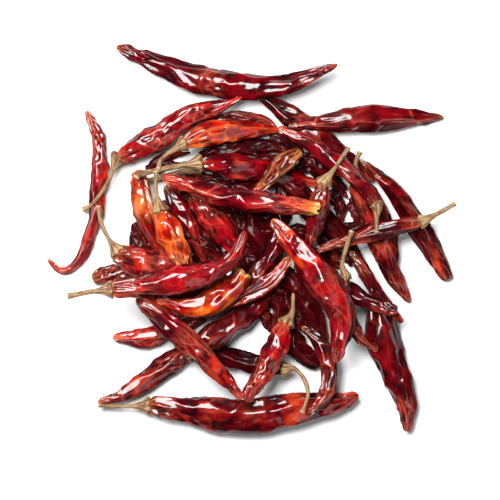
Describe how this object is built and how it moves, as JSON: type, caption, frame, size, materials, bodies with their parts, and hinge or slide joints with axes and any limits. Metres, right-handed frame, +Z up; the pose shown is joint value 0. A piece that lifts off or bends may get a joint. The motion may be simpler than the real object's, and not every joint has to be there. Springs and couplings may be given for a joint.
{
  "type": "heap of dried chillies",
  "caption": "Loose heap of whole dried red chillies with wrinkled, glossy skins, some with their stems, as it lies on a flat surface.",
  "frame": {"origin": "on the flat underside, at the middle of the heap's bounding box", "axes": "+Z up from the surface it lies on; +X and +Y as the heap is seen from above, with the long loose chilli of its far edge towards +Y"},
  "size_m": [0.18, 0.1729, 0.0326],
  "materials": {
    "dried_chilli_skin": "wrinkled, waxy dried pepper skin, glossy on its ridges, from dark maroon to orange-red"
  },
  "bodies": {
    "root": {"chilli_heap": "dried_chilli_skin"}
  },
  "joints": []
}
